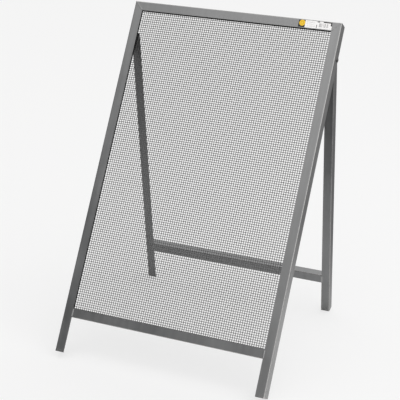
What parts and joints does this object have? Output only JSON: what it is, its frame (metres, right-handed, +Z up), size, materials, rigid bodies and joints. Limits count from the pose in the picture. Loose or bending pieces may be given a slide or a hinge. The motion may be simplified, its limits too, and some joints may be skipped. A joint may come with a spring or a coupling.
{
  "type": "standing sand screen",
  "caption": "Free-standing leaning screen: angle-iron frame with woven wire mesh and a hinged folding rear stand with a crossbar.",
  "frame": {"origin": "on the ground in the middle of the footprint", "axes": "+Z up, +Y from the leaning screen towards the rear stand, +X across from the left stile to the right one as seen from the front"},
  "size_m": [0.605, 0.619, 0.8867],
  "materials": {
    "frame_paint": "satin grey enamel",
    "stand_paint": "satin grey enamel",
    "strip_paint": "dark satin enamel",
    "mesh_wire": "dull galvanised wire",
    "weld_bead": "painted weld",
    "zinc_fastener": "zinc plated",
    "label": null
  },
  "bodies": {
    "front_frame": {"left_stile": "frame_paint", "right_stile": "frame_paint", "top_rail": "frame_paint", "bottom_rail": "frame_paint", "mesh_long_wires": "mesh_wire", "mesh_cross_wires": "mesh_wire", "left_strip": "strip_paint", "right_strip": "strip_paint", "top_strip": "strip_paint", "bottom_strip": "strip_paint", "strip_tack_welds": "weld_bead", "bottom_left_weld": "weld_bead", "bottom_right_weld": "weld_bead", "top_left_weld": "weld_bead", "top_right_weld": "weld_bead", "label": "label", "left_pivot_bolt": "zinc_fastener", "right_pivot_bolt": "zinc_fastener", "left_pivot_washer": "zinc_fastener", "right_pivot_washer": "zinc_fastener", "left_pivot_nut": "zinc_fastener", "right_pivot_nut": "zinc_fastener"},
    "rear_stand": {"left_leg": "stand_paint", "right_leg": "stand_paint", "crossbar": "stand_paint", "crossbar_left_weld": "weld_bead", "crossbar_right_weld": "weld_bead"}
  },
  "joints": [
    {"name": "stand_fold", "type": "hinge", "parent": "front_frame", "child": "rear_stand", "pos_m": [0, 0.15874, 0.7921], "axis": [-1, 0, 0], "range_deg": [0, 39.3]}
  ]
}
